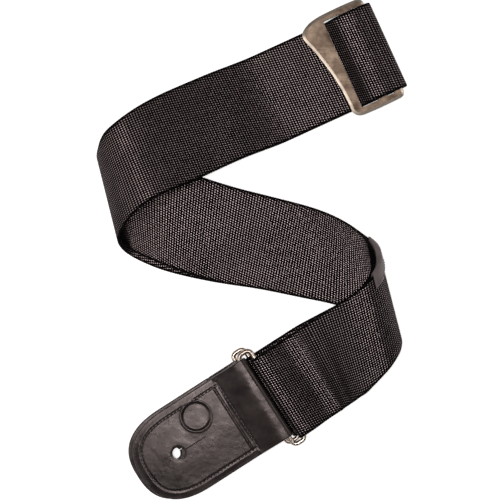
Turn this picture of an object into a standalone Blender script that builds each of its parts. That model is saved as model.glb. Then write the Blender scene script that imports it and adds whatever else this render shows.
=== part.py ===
"""Guitar strap: 50 mm webbing folded into a Z, slider, two wire rings, two leather ends.

Units are metres, +Z up. The strap lies on the plane z = 0. Three strands of webbing
run one on the other: the long run from the front ring to the slider, and the adjuster
run that goes from the slider to the rear ring and back to the slider's middle bar.

Everything is placed through strap_point(s, w, z): s runs along the strap from the fold
behind the slider to the leather ends, w runs across it towards its upper edge, and z is
the distance above the plane wherever the strap lies flat.
"""
import math

import bmesh
import bpy
from mathutils import Vector

MM = 0.001

# Driving dimensions
STRAP_WIDTH = 0.050
WEBBING_THICKNESS = 0.0013
GAP = 0.0003
LAYER_PITCH = WEBBING_THICKNESS + GAP
STACK_MIDDLE = 1.5 * WEBBING_THICKNESS + GAP
BEND_SLACK = 0.0004
LEATHER_THICKNESS = 0.0015
LEATHER_WIDTH = 0.0495
CORE_THICKNESS = 0.0008
WIRE_RADIUS = 0.0013
RING_LENGTH = 0.060
RING_BAR_SPACING = 0.0074
THREAD_WIDTH = 0.0008
THREAD_HEIGHT = 0.0006

# The bounding box of the whole strap is centred on the origin by this shift
CENTRE_SHIFT = Vector((-0.00043, -0.00031, 0.00005))

# Slider end of the strap: the fold's middle and the way the strap leaves it
FOLD_PLACE = Vector((0.0745, 0.1125, STACK_MIDDLE))
FOLD_ANGLE = math.radians(204.6)
SLIDER_STRAIGHT = 0.070

# Ring end of the strap: where its straight stretch starts, and its direction
RING_PLACE = Vector((0.0363, -0.0659, STACK_MIDDLE))
RING_ANGLE = math.radians(212.7)
RING_STRAIGHT = 0.0253

# Upper and lower edge of the middle strand between the two straight stretches, in mm,
# chosen by hand: down the upper run, round the left bend, along the middle run on the
# table, round the right bend and down the lower run
UPPER_EDGE = (
    (-25.7, 95.0, 9.5), (-49.4, 83.8, 18.5), (-63.8, 75.2, 24.0), (-73.4, 67.3, 25.5),
    (-79.4, 60.3, 21.5), (-82.0, 51.5, 13.5), (-78.0, 46.0, 5.5), (-65.0, 44.8, 2.9),
    (-42.0, 41.8, 2.25), (-15.0, 35.7, 2.25), (12.5, 29.0, 2.25), (34.0, 23.2, 2.25),
    (48.5, 17.2, 2.6), (58.5, 10.5, 4.8), (64.2, 4.0, 8.0), (66.2, -4.5, 12.5),
    (64.8, -12.0, 17.5), (58.8, -19.5, 20.5), (50.0, -26.5, 19.0), (41.0, -32.5, 13.5),
    (31.5, -39.0, 7.5),
)
LOWER_EDGE = (
    (-4.5, 50.1, 9.5), (-30.4, 37.8, 18.0), (-45.6, 31.2, 23.0), (-56.0, 25.6, 24.5),
    (-65.0, 17.0, 20.5), (-70.6, 6.5, 12.5), (-67.0, -1.5, 5.0), (-59.5, -6.5, 2.9),
    (-45.0, -12.0, 2.25), (-22.0, -17.2, 2.25), (3.0, -21.0, 2.25), (26.0, -25.6, 2.25),
    (46.5, -30.0, 2.6), (63.5, -36.0, 4.8), (74.5, -42.5, 8.0), (78.2, -50.5, 13.0),
    (76.0, -58.5, 18.0), (70.5, -67.0, 20.0), (63.0, -75.5, 18.5), (57.5, -80.5, 13.5),
    (54.0, -83.5, 8.0),
)
SPLINE_STEPS = 10
STEP_ALONG = 0.004

# Slider, measured from the fold
SLIDER_FLOOR = 0.0065
SLIDER_THICKNESS = 0.0022
SLIDER_TRAVEL = 0.015
SLOT_HALF_WIDTH = 0.0256
FIRST_SLOT = (0.0175, 0.0275)
SECOND_SLOT = (0.0080, 0.0125)
MIDDLE_BAR = (0.0125, 0.0175)
SLIDER_OUTLINE = (
    (0.0032, -0.0263), (0.0042, -0.0287), (0.0064, -0.0295), (0.0274, -0.0296),
    (0.0310, -0.0286), (0.0332, -0.0258), (0.0333, -0.0215), (0.0338, -0.0120),
    (0.0350, -0.0030), (0.0368, 0.0055), (0.0390, 0.0140), (0.0411, 0.0205),
    (0.0410, 0.0236), (0.0385, 0.0262), (0.0340, 0.0283), (0.0258, 0.0294),
    (0.0068, 0.0294), (0.0042, 0.0284), (0.0032, 0.0260),
)

# Heights of the strands' middles where they pass the slider
TAIL_Z = STACK_MIDDLE + LAYER_PITCH
LONG_RUN_Z = STACK_MIDDLE + 2 * LAYER_PITCH
BRIDGE_Z = 0.01125
LOOP_TOP_Z = SLIDER_FLOOR + SLIDER_THICKNESS + GAP + WEBBING_THICKNESS / 2
LONG_RUN_START = 0.0485
BRIDGE_END = 0.0480
SEWN_TAIL_END = 0.0460
SEWN_STRAND_END = 0.0500
RETURN_STRAND = (0.0503, 0.0720)
RETURN_FIXED_END = 0.0723

# Rings and leather ends. The rear end lies under the front one, a little further out
REAR_SHIFT = 0.0025
FRONT_RING_Z = 0.00935
REAR_RING_Z = 0.00305
WEBBING_LOOP_RADIUS = WIRE_RADIUS + 0.00035 + WEBBING_THICKNESS / 2
TACK_LENGTH = 0.025
RING_OFFSET = {"front": 0.002, "rear": 0.004}
LEATHER_OFFSET = {"front": 0.0036, "rear": 0.0046}
LEATHER_FLOOR = {"front": 0.0049, "rear": 0.0}
LEATHER_LENGTH = 0.0791
TIP_LENGTH = 0.0306
TIP_POWER = 2.6
RETURN_LEAF = 0.017
BACKING_START = 0.0185
CORE_START = 0.020
STITCH_INSET = 0.0046
CORE_INSET = 0.0062
HOLE_FROM_TIP = 0.0237
HOLE_RADIUS = 0.0034
SLIT_LENGTH = 0.0176
SLIT_WIDTH = 0.0006
GROOVE_WIDTH = 0.0014
GROOVE_DEPTH = 0.0009

# Label folded over the upper edge at the right bend
LABEL_THICKNESS = 0.0007
LABEL_DEPTH = 0.0075
LABEL_STATIONS = (13.7, 16.3)

COLOURS = {
    "webbing": ((0.012, 0.011, 0.013, 1.0), 0.75, 0.0),
    "leather": ((0.014, 0.012, 0.012, 1.0), 0.40, 0.0),
    "backing": ((0.020, 0.018, 0.018, 1.0), 0.70, 0.0),
    "core": ((0.060, 0.050, 0.045, 1.0), 0.90, 0.0),
    "thread": ((0.006, 0.006, 0.006, 1.0), 0.60, 0.0),
    "slider_metal": ((0.260, 0.200, 0.150, 1.0), 0.38, 1.0),
    "ring_metal": ((0.300, 0.250, 0.210, 1.0), 0.30, 1.0),
}


def clear_scene():
    for obj in list(bpy.data.objects):
        bpy.data.objects.remove(obj, do_unlink=True)


def heading(angle):
    return Vector((math.cos(angle), math.sin(angle), 0.0))


def across(angle):
    """Unit vector from the strap's middle to its upper edge, for a strap heading this way."""
    return Vector((math.sin(angle), -math.cos(angle), 0.0))


def smooth(x, start, end):
    """0 before start, 1 after end, with an easy change between them."""
    t = min(1.0, max(0.0, (x - start) / (end - start)))
    return t * t * (3.0 - 2.0 * t)


def spline(points, first_tangent, last_tangent):
    """Points of a smooth curve through all the given points, SPLINE_STEPS to a stretch."""
    tangents = [first_tangent * (points[1] - points[0]).length]
    for before, after in zip(points, points[2:]):
        tangents.append((after - before) * 0.5)
    tangents.append(last_tangent * (points[-1] - points[-2]).length)
    curve = []
    for i in range(len(points) - 1):
        for step in range(SPLINE_STEPS):
            t = step / SPLINE_STEPS
            a = 2 * t ** 3 - 3 * t ** 2 + 1
            b = t ** 3 - 2 * t ** 2 + t
            c = -2 * t ** 3 + 3 * t ** 2
            d = t ** 3 - t ** 2
            curve.append(points[i] * a + tangents[i] * b + points[i + 1] * c + tangents[i + 1] * d)
    curve.append(points[-1])
    return curve


def edge_curve(stations, side):
    """One edge of the middle strand, from the slider's stretch to the ring's."""
    start_way = heading(FOLD_ANGLE)
    end_way = heading(RING_ANGLE)
    half = side * STRAP_WIDTH / 2
    first = FOLD_PLACE + start_way * SLIDER_STRAIGHT + across(FOLD_ANGLE) * half
    last = RING_PLACE + across(RING_ANGLE) * half
    points = [first] + [Vector(p) * MM for p in stations] + [last]
    return spline(points, start_way, end_way)


UPPER_CURVE = edge_curve(UPPER_EDGE, 1)
LOWER_CURVE = edge_curve(LOWER_EDGE, -1)
MIDDLE_CURVE = [(a + b) * 0.5 for a, b in zip(UPPER_CURVE, LOWER_CURVE)]


def running_lengths(curve):
    lengths = [SLIDER_STRAIGHT]
    for a, b in zip(curve, curve[1:]):
        lengths.append(lengths[-1] + (b - a).length)
    return lengths


MIDDLE_LENGTHS = running_lengths(MIDDLE_CURVE)
BEND_END = MIDDLE_LENGTHS[-1]
FRONT_BAR = BEND_END + RING_STRAIGHT
REAR_BAR = FRONT_BAR + REAR_SHIFT


def station_length(number):
    """Length along the strap at a station of the edge lists, which may be between two."""
    position = (number + 1) * SPLINE_STEPS
    low = int(position)
    part = position - low
    return MIDDLE_LENGTHS[low] * (1 - part) + MIDDLE_LENGTHS[low + 1] * part


def strap_frame(s):
    """Middle, half width vector and upward normal of the middle strand at length s."""
    if s <= SLIDER_STRAIGHT:
        middle = FOLD_PLACE + heading(FOLD_ANGLE) * s
        return middle, across(FOLD_ANGLE) * (STRAP_WIDTH / 2), Vector((0, 0, 1))
    if s >= BEND_END:
        middle = RING_PLACE + heading(RING_ANGLE) * (s - BEND_END)
        return middle, across(RING_ANGLE) * (STRAP_WIDTH / 2), Vector((0, 0, 1))
    low = 0
    while MIDDLE_LENGTHS[low + 1] < s:
        low += 1
    span = MIDDLE_LENGTHS[low + 1] - MIDDLE_LENGTHS[low]
    part = (s - MIDDLE_LENGTHS[low]) / span
    upper = UPPER_CURVE[low].lerp(UPPER_CURVE[low + 1], part)
    lower = LOWER_CURVE[low].lerp(LOWER_CURVE[low + 1], part)
    normals = []
    for i in (low, low + 1):
        before = MIDDLE_CURVE[max(0, i - 1)]
        after = MIDDLE_CURVE[min(len(MIDDLE_CURVE) - 1, i + 1)]
        width = UPPER_CURVE[i] - LOWER_CURVE[i]
        normals.append(width.cross(after - before).normalized())
    normal = normals[0].lerp(normals[1], part).normalized()
    return (upper + lower) * 0.5, (upper - lower) * 0.5, normal


def strap_point(s, w, z):
    """World position at length s, w across and z above the plane the flat strap lies on."""
    middle, half_width, normal = strap_frame(s)
    place = middle + half_width * (w / (STRAP_WIDTH / 2)) + normal * (z - STACK_MIDDLE)
    return place + CENTRE_SHIFT


def material(kind):
    name = kind + "_material"
    found = bpy.data.materials.get(name)
    if found:
        return found
    colour, roughness, metallic = COLOURS[kind]
    made = bpy.data.materials.new(name)
    made.use_nodes = True
    shader = made.node_tree.nodes["Principled BSDF"]
    shader.inputs["Base Color"].default_value = colour
    shader.inputs["Roughness"].default_value = roughness
    shader.inputs["Metallic"].default_value = metallic
    return made


def add_object(name, bm, kind, origin=None):
    """Turn a bmesh in world space into a named object with its origin at the given place."""
    bmesh.ops.recalc_face_normals(bm, faces=bm.faces)
    place = origin if origin else Vector((0, 0, 0))
    bmesh.ops.translate(bm, verts=bm.verts, vec=-place)
    mesh = bpy.data.meshes.new(name)
    bm.to_mesh(mesh)
    bm.free()
    mesh.materials.append(material(kind))
    obj = bpy.data.objects.new(name, mesh)
    obj.location = place
    bpy.context.scene.collection.objects.link(obj)
    return obj


def cut(obj, cutter):
    """Take the cutter away from the object with an exact Boolean that stays on it."""
    cutter.hide_render = True
    cutter.display_type = "WIRE"
    boolean = obj.modifiers.new("cut_" + cutter.name, "BOOLEAN")
    boolean.operation = "DIFFERENCE"
    boolean.solver = "EXACT"
    boolean.object = cutter


def offset_path(path, thickness):
    """The two sides of a flat path (s, z) that is thickened evenly to both sides."""
    sides = ([], [])
    for i, (s, z) in enumerate(path):
        before = path[max(0, i - 1)]
        after = path[min(len(path) - 1, i + 1)]
        ds = after[0] - before[0]
        dz = after[1] - before[1]
        size = math.hypot(ds, dz)
        for side, sign in zip(sides, (1, -1)):
            side.append((s - sign * dz / size * thickness / 2, z + sign * ds / size * thickness / 2))
    return sides


def sweep_strip(path, thickness, half_width, shift):
    """A bmesh of a flat strip that follows path in (s, z); both widths are functions of s."""
    bm = bmesh.new()
    rows = []
    upper_side, lower_side = offset_path(path, thickness)
    for (s, _), high, low in zip(path, upper_side, lower_side):
        left = shift(s) - half_width(s)
        right = shift(s) + half_width(s)
        corners = (
            (high, left), (high, shift(s)), (high, right),
            (low, right), (low, shift(s)), (low, left),
        )
        rows.append([bm.verts.new(strap_point(p[0], w, p[1])) for p, w in corners])
    for row, following in zip(rows, rows[1:]):
        for i in range(len(row)):
            j = (i + 1) % len(row)
            bm.faces.new((row[i], row[j], following[j], following[i]))
    bm.faces.new(rows[0])
    bm.faces.new(rows[-1])
    return bm


def constant(value):
    return lambda s: value


def stretch(start, end, height, step=STEP_ALONG):
    """Path points from start to end, at a height that is a function of s.

    The points between the ends lie on multiples of step, so that strands that run one
    on the other bend at the same places.
    """
    low, high = min(start, end), max(start, end)
    inside = [i * step for i in range(math.ceil(low / step), math.floor(high / step) + 1)]
    lengths = [low] + [s for s in inside if low + step / 4 < s < high - step / 4] + [high]
    if start > end:
        lengths.reverse()
    return [(s, height(s)) for s in lengths]


def half_turn(s, z, radius, towards, rising, steps=8):
    """Path points of a half turn about (s, z); towards is the side on which it bulges."""
    points = []
    for i in range(steps + 1):
        angle = math.pi * i / steps - math.pi / 2
        if not rising:
            angle = -angle
        points.append((s + towards * radius * math.cos(angle), z + radius * math.sin(angle)))
    return points


def join_paths(*paths):
    """One path from several, without the doubled points where they meet."""
    points = []
    for path in paths:
        for point in path:
            if not points or math.dist(point, points[-1]) > 0.0002:
                points.append(point)
    return points


# Heights of the three strands along the strap

def layer_two_height(s):
    rise = REAR_RING_Z + WEBBING_LOOP_RADIUS - STACK_MIDDLE
    return STACK_MIDDLE + rise * smooth(s, REAR_BAR - 0.022, REAR_BAR - 0.003)


def tail_height(s):
    top = FRONT_RING_Z - WEBBING_LOOP_RADIUS
    resting = layer_two_height(s) + LAYER_PITCH
    return resting + (top - layer_two_height(REAR_BAR) - LAYER_PITCH) * smooth(s, FRONT_BAR - 0.02, FRONT_BAR)


def long_run_height(s):
    slider_part = LAYER_PITCH * (1 - smooth(s, 0.075, 0.110))
    label_start = station_length(LABEL_STATIONS[0])
    label_end = station_length(LABEL_STATIONS[1])
    label_in = smooth(s, label_start - 0.010, label_start - 0.002)
    label_out = smooth(s, label_end + 0.002, label_end + 0.012)
    label_part = (LABEL_THICKNESS + 2 * GAP) * (label_in - label_out)
    tail_part = LAYER_PITCH * smooth(s, FRONT_BAR - 0.040, FRONT_BAR - TACK_LENGTH - 0.002)
    apart_in = smooth(s, station_length(15), station_length(17))
    apart_out = smooth(s, station_length(19), station_length(20))
    bend_part = BEND_SLACK * (apart_in - apart_out)
    below = layer_two_height(s) + LAYER_PITCH + slider_part + label_part + tail_part + bend_part
    top = FRONT_RING_Z + WEBBING_LOOP_RADIUS
    climb = smooth(s, FRONT_BAR - 0.018, FRONT_BAR - 0.002)
    return below + (top - below) * climb


def layer_three_height(s):
    lift = REAR_RING_Z - WEBBING_LOOP_RADIUS - (STACK_MIDDLE - LAYER_PITCH)
    return STACK_MIDDLE - LAYER_PITCH + lift * smooth(s, REAR_BAR - 0.010, REAR_BAR)


def adjuster_shift(s):
    """The adjuster strands stray from the long run: inwards at the left bend, up at the rings."""
    bend = station_length(6)
    inward = 0.0035 * smooth(s, bend - 0.05, bend) * (1 - smooth(s, bend + 0.01, bend + 0.07))
    return inward + 0.002 * smooth(s, BEND_END - 0.03, BEND_END)


def make_webbing():
    width = constant(STRAP_WIDTH / 2)
    centred = constant(0.0)

    long_run = join_paths(
        stretch(LONG_RUN_START, FRONT_BAR, long_run_height),
        half_turn(FRONT_BAR, FRONT_RING_Z, WEBBING_LOOP_RADIUS, 1, False),
        stretch(FRONT_BAR, FRONT_BAR - TACK_LENGTH, tail_height),
    )
    add_object("webbing_long_run", sweep_strip(long_run, WEBBING_THICKNESS, width, centred), "webbing")

    fold_radius = (BRIDGE_Z - (STACK_MIDDLE - LAYER_PITCH)) / 2
    fold_centre_z = STACK_MIDDLE - LAYER_PITCH + fold_radius
    fold_s = fold_radius + WEBBING_THICKNESS / 2
    adjuster = join_paths(
        half_turn(fold_s, fold_centre_z, fold_radius, -1, False, 10),
        stretch(fold_s, REAR_BAR, layer_three_height),
        half_turn(REAR_BAR, REAR_RING_Z, WEBBING_LOOP_RADIUS, 1, True),
        stretch(REAR_BAR, RETURN_FIXED_END, layer_two_height),
    )
    bm = sweep_strip(adjuster, WEBBING_THICKNESS, width, adjuster_shift)
    add_object("webbing_adjuster_run", bm, "webbing")

    ramp_low = FIRST_SLOT[1] - 0.0007
    ramp_high = FIRST_SLOT[0] + 0.0022

    def bridge_height(s):
        return BRIDGE_Z + (LONG_RUN_Z - BRIDGE_Z) * smooth(s, ramp_high, ramp_low)

    bridge = stretch(BRIDGE_END, fold_s + GAP, bridge_height, 0.0012)
    add_object("webbing_bridge", sweep_strip(bridge, WEBBING_THICKNESS, width, centred), "webbing")

    clearance = GAP + WEBBING_THICKNESS / 2
    right_leg = MIDDLE_BAR[0] - clearance
    left_leg = MIDDLE_BAR[1] + clearance
    bend = 0.0012
    loop = [(SEWN_STRAND_END, STACK_MIDDLE)]
    corners = (
        (right_leg + bend, STACK_MIDDLE + bend, -90, -180),
        (right_leg + bend, LOOP_TOP_Z - bend, 180, 90),
        (left_leg - bend, LOOP_TOP_Z - bend, 90, 0),
    )
    for s, z, first, last in corners:
        for i in range(5):
            angle = math.radians(first + (last - first) * i / 4)
            loop.append((s + bend * math.cos(angle), z + bend * math.sin(angle)))
    for i in range(5):
        angle = math.radians(180 + 90 * i / 4)
        loop.append((left_leg + bend + bend * math.cos(angle), TAIL_Z + bend + bend * math.sin(angle)))
    loop.append((SEWN_TAIL_END, TAIL_Z))
    bm = sweep_strip(loop, WEBBING_THICKNESS, width, centred)
    add_object("webbing_sewn_end", bm, "webbing")

    strand = stretch(RETURN_STRAND[0], RETURN_STRAND[1], layer_two_height)
    bm = sweep_strip(strand, WEBBING_THICKNESS, width, centred)
    add_object("webbing_return_strand", bm, "webbing")


def prism(corners, low, high):
    """A bmesh of an outline in (s, w) raised from height low to height high."""
    bm = bmesh.new()
    bottom = [bm.verts.new(strap_point(s, w, low)) for s, w in corners]
    top = [bm.verts.new(strap_point(s, w, high)) for s, w in corners]
    bm.faces.new(bottom)
    bm.faces.new(top)
    for i in range(len(corners)):
        j = (i + 1) % len(corners)
        bm.faces.new((bottom[i], bottom[j], top[j], top[i]))
    return bm


def rectangle(first_s, last_s, half_width):
    return ((first_s, -half_width), (last_s, -half_width), (last_s, half_width), (first_s, half_width))


def make_slider():
    top = SLIDER_FLOOR + SLIDER_THICKNESS
    frame = add_object("slider_frame", prism(SLIDER_OUTLINE, SLIDER_FLOOR, top), "slider_metal")
    for number, slot in enumerate((FIRST_SLOT, SECOND_SLOT)):
        corners = rectangle(slot[0], slot[1], SLOT_HALF_WIDTH)
        cutter = add_object("slot_cutter_%d" % number, prism(corners, 0.0, 0.02), "slider_metal")
        cut(frame, cutter)
    bevel = frame.modifiers.new("rounded_edges", "BEVEL")
    bevel.width = 0.0006
    bevel.segments = 2
    bevel.limit_method = "ANGLE"
    bevel.angle_limit = math.radians(50)


def make_ring(name, side, bar_s, z):
    """A rectangular loop of round wire; its far bar is where the leather hangs."""
    corner = 0.0026
    half_length = RING_LENGTH / 2 - WIRE_RADIUS
    near = bar_s
    far = bar_s + RING_BAR_SPACING
    centres = (
        (far - corner, half_length - corner, 0), (near + corner, half_length - corner, 90),
        (near + corner, corner - half_length, 180), (far - corner, corner - half_length, 270),
    )
    path = []
    for s, w, first in centres:
        for i in range(5):
            angle = math.radians(first + 90 * i / 4)
            path.append((s + corner * math.cos(angle), w + corner * math.sin(angle)))
    bm = bmesh.new()
    sides = 10
    rows = []
    for i, (s, w) in enumerate(path):
        before = path[i - 1]
        after = path[(i + 1) % len(path)]
        ds = after[0] - before[0]
        dw = after[1] - before[1]
        size = math.hypot(ds, dw)
        row = []
        for k in range(sides):
            angle = 2 * math.pi * k / sides
            out = WIRE_RADIUS * math.cos(angle)
            up = WIRE_RADIUS * math.sin(angle)
            along = s + dw / size * out
            over = w - ds / size * out + RING_OFFSET[side]
            row.append(bm.verts.new(strap_point(along, over, z + up)))
        rows.append(row)
    for i, row in enumerate(rows):
        following = rows[(i + 1) % len(rows)]
        for k in range(sides):
            m = (k + 1) % sides
            bm.faces.new((row[k], row[m], following[m], following[k]))
    ring = add_object(name, bm, "ring_metal", strap_point(bar_s, 0.0, z))
    for polygon in ring.data.polygons:
        polygon.use_smooth = True


def leather_half_width(d, inset=0.0):
    """Half width of a leather end at distance d from the ring's bar, with a blunt round tip."""
    half = LEATHER_WIDTH / 2 - inset
    tip_start = LEATHER_LENGTH - TIP_LENGTH
    if d <= tip_start:
        return half
    reach = min(1.0, (d - tip_start) / (TIP_LENGTH - inset))
    return half * (1 - reach ** TIP_POWER) ** (1 / TIP_POWER)


def tip_distances(start, inset=0.0):
    """Distances from the ring's bar to the tip, closer together where the tip is round."""
    tip_start = LEATHER_LENGTH - TIP_LENGTH
    distances = []
    if start < tip_start:
        distances.append(start)
    count = 12
    for i in range(count + 1):
        angle = math.pi / 2 * i / count
        reach = min(0.999, math.sin(angle) ** (2 / TIP_POWER))
        distance = tip_start + (TIP_LENGTH - inset) * reach
        if distance > start:
            distances.append(distance)
    return distances


def leather_path(side, bar_s, ring_z):
    """The face leather in (d, z): the return leaf, round the ring's bar, then out to the tip."""
    floor = LEATHER_FLOOR[side]
    radius = WIRE_RADIUS + 0.0002 + LEATHER_THICKNESS / 2
    low_flat = floor + 0.0008
    high_flat = floor + 2 * LEATHER_THICKNESS + CORE_THICKNESS + 2 * GAP - LEATHER_THICKNESS / 2

    def low(d):
        return ring_z - radius + (low_flat - ring_z + radius) * smooth(d, 0.005, RETURN_LEAF)

    def high(d):
        return ring_z + radius + (high_flat - ring_z - radius) * smooth(d, 0.002, 0.013)

    path = [(RETURN_LEAF * i / 7, low(RETURN_LEAF * i / 7)) for i in range(7, 0, -1)]
    path += half_turn(0.0, ring_z, radius, -1, True)
    path += [(RETURN_LEAF * i / 7, high(RETURN_LEAF * i / 7)) for i in range(1, 8)]
    path += [(d, high(d)) for d in tip_distances(0.03)]
    return join_paths([(bar_s + d, z) for d, z in path])


def stitch_loop(inset, start):
    """Points (d, w) of the seam that follows the edge of a leather end round its tip."""
    distances = tip_distances(start, inset)
    one_side = [(d, leather_half_width(d, inset)) for d in distances]
    other_side = [(d, -w) for d, w in reversed(one_side)]
    return one_side + other_side


def bar_along(points, bottom, top, width):
    """A bmesh of a square-edged thread that follows points (s, w) between two heights of s."""
    bm = bmesh.new()
    rows = []
    for i, (s, w) in enumerate(points):
        before = points[max(0, i - 1)]
        after = points[min(len(points) - 1, i + 1)]
        ds = after[0] - before[0]
        dw = after[1] - before[1]
        size = math.hypot(ds, dw)
        side_s = dw / size * width / 2
        side_w = -ds / size * width / 2
        row = []
        for sign, height in ((1, bottom(s)), (1, top(s)), (-1, top(s)), (-1, bottom(s))):
            row.append(bm.verts.new(strap_point(s + sign * side_s, w + sign * side_w, height)))
        rows.append(row)
    for row, following in zip(rows, rows[1:]):
        for i in range(4):
            j = (i + 1) % 4
            bm.faces.new((row[i], row[j], following[j], following[i]))
    bm.faces.new(rows[0])
    bm.faces.new(rows[-1])
    return bm


def hole_outline(bar_s, offset):
    """The button hole with its slit, as one outline in (s, w)."""
    centre = bar_s + LEATHER_LENGTH - HOLE_FROM_TIP
    opening = math.asin(SLIT_WIDTH / 2 / HOLE_RADIUS)
    corners = [(centre - SLIT_LENGTH, offset - SLIT_WIDTH / 2)]
    count = 20
    for i in range(count + 1):
        angle = math.pi + opening + (2 * math.pi - 2 * opening) * i / count
        corners.append((centre + HOLE_RADIUS * math.cos(angle), offset + HOLE_RADIUS * math.sin(angle)))
    corners.append((centre - SLIT_LENGTH, offset + SLIT_WIDTH / 2))
    return corners


def make_leather_end(side, webbing_bar, ring_z):
    bar_s = webbing_bar + RING_BAR_SPACING
    offset = LEATHER_OFFSET[side]
    floor = LEATHER_FLOOR[side]
    origin = strap_point(bar_s, 0.0, ring_z)

    def half_width(s):
        return max(0.0012, leather_half_width(s - bar_s))

    path = leather_path(side, bar_s, ring_z)
    bm = sweep_strip(path, LEATHER_THICKNESS, half_width, constant(offset))
    face = add_object(side + "_end_face", bm, "leather", origin)

    outline = hole_outline(bar_s, offset)
    hole = add_object(side + "_hole_cutter", prism(outline, floor - 0.002, floor + 0.012), "leather")
    cut(face, hole)

    def backing_outline(start, inset):
        return [(bar_s + d, offset + w) for d, w in stitch_loop(inset, start)]

    backing_corners = backing_outline(BACKING_START, 0.0)
    bm = prism(backing_corners, floor, floor + LEATHER_THICKNESS)
    backing = add_object(side + "_end_backing", bm, "backing", origin)
    cut(backing, hole)

    core_low = floor + LEATHER_THICKNESS + GAP
    bm = prism(backing_outline(CORE_START, CORE_INSET), core_low, core_low + CORE_THICKNESS)
    core = add_object(side + "_end_core", bm, "core", origin)
    cut(core, hole)

    face_top = core_low + CORE_THICKNESS + GAP + LEATHER_THICKNESS

    def groove_floor(s):
        return face_top - GROOVE_DEPTH

    def above_face(s):
        return face_top + 0.002

    def thread_low(s):
        return face_top - GROOVE_DEPTH + GAP

    def thread_high(s):
        return face_top - GROOVE_DEPTH + GAP + THREAD_HEIGHT * 0.8

    seam = [(bar_s + d, offset + w) for d, w in stitch_loop(STITCH_INSET, 0.0215)]
    overrun = 0.0006
    long_seam = [(seam[0][0] - overrun, seam[0][1])] + seam + [(seam[-1][0] - overrun, seam[-1][1])]
    bm = bar_along(long_seam, groove_floor, above_face, GROOVE_WIDTH)
    groove = add_object(side + "_groove_cutter", bm, "leather")
    cut(face, groove)
    bm = bar_along(seam, thread_low, thread_high, THREAD_WIDTH)
    add_object(side + "_end_edge_thread", bm, "thread", origin)

    reach = LEATHER_WIDTH / 2 - STITCH_INSET + 0.003
    cross = [(bar_s + RETURN_LEAF, offset - reach), (bar_s + RETURN_LEAF, offset + reach)]
    long_cross = [(cross[0][0], cross[0][1] - overrun), (cross[1][0], cross[1][1] + overrun)]
    bm = bar_along(long_cross, groove_floor, above_face, GROOVE_WIDTH)
    groove = add_object(side + "_cross_groove_cutter", bm, "leather")
    cut(face, groove)
    bm = bar_along(cross, thread_low, thread_high, THREAD_WIDTH)
    add_object(side + "_end_cross_thread", bm, "thread", origin)


def make_tack_thread():
    """The boxed seam that closes the long run's loop at the front ring, seen on its top."""
    def low(s):
        return long_run_height(s) + WEBBING_THICKNESS / 2 + 2 * GAP

    def high(s):
        return low(s) + THREAD_HEIGHT

    first = FRONT_BAR - TACK_LENGTH + 0.002
    last = FRONT_BAR - 0.010
    half = STRAP_WIDTH / 2 - 0.003
    points = [(first, -half)]
    points += [(first, half * i / 4) for i in range(-3, 5)]
    points += [(first + (last - first) * i / 8, half) for i in range(1, 9)]
    points += [(last, half * i / 4) for i in range(3, -5, -1)]
    add_object("long_run_tack_thread", bar_along(points, low, high, THREAD_WIDTH), "thread")


def make_label():
    """A small leather label folded over the upper edge of the long run at the right bend."""
    first = station_length(LABEL_STATIONS[0])
    last = station_length(LABEL_STATIONS[1])
    middle = GAP + LABEL_THICKNESS / 2
    away = WEBBING_THICKNESS / 2 + middle
    edge = STRAP_WIDTH / 2
    profile = [(edge - LABEL_DEPTH, away), (edge - LABEL_DEPTH / 2, away), (edge, away)]
    for i in range(1, 6):
        angle = math.radians(90 - 30 * i)
        profile.append((edge + away * math.cos(angle), away * math.sin(angle)))
    profile += [(edge, -away), (edge - LABEL_DEPTH / 2, -away), (edge - LABEL_DEPTH, -away)]
    outer, inner = offset_path(profile, LABEL_THICKNESS)
    section = outer + inner[::-1]
    bm = bmesh.new()
    rows = []
    count = 10
    for i in range(count + 1):
        s = first + (last - first) * i / count
        height = long_run_height(s)
        rows.append([bm.verts.new(strap_point(s, w, height + h)) for w, h in section])
    for row, following in zip(rows, rows[1:]):
        for i in range(len(section)):
            j = (i + 1) % len(section)
            bm.faces.new((row[i], row[j], following[j], following[i]))
    bm.faces.new(rows[0])
    bm.faces.new(rows[-1])
    add_object("edge_label", bm, "leather")

    def low(s):
        return long_run_height(s) + WEBBING_THICKNESS / 2 + 2 * GAP + LABEL_THICKNESS

    def high(s):
        return low(s) + THREAD_HEIGHT * 0.6

    inset = 0.0015
    points = []
    for i in range(count + 1):
        s = first + inset + (last - first - 2 * inset) * i / count
        points.append((s, edge - LABEL_DEPTH + inset))
    add_object("label_thread", bar_along(points, low, high, THREAD_WIDTH), "thread")


def main():
    clear_scene()
    make_webbing()
    make_slider()
    make_ring("front_ring", "front", FRONT_BAR, FRONT_RING_Z)
    make_ring("rear_ring", "rear", REAR_BAR, REAR_RING_Z)
    make_leather_end("front", FRONT_BAR, FRONT_RING_Z)
    make_leather_end("rear", REAR_BAR, REAR_RING_Z)
    make_tack_thread()
    make_label()


main()
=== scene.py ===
"""Guitar strap: woven ribbons, metal slider and rings, leather ends and stitches, in metres.

The strap's shape is the CAD model's: strap_point(s, w, z) takes the length s from the fold
behind the slider, the distance w across towards the upper edge, and the height z that the
point would have where the strap lies flat.
"""
import bisect
import math

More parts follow.
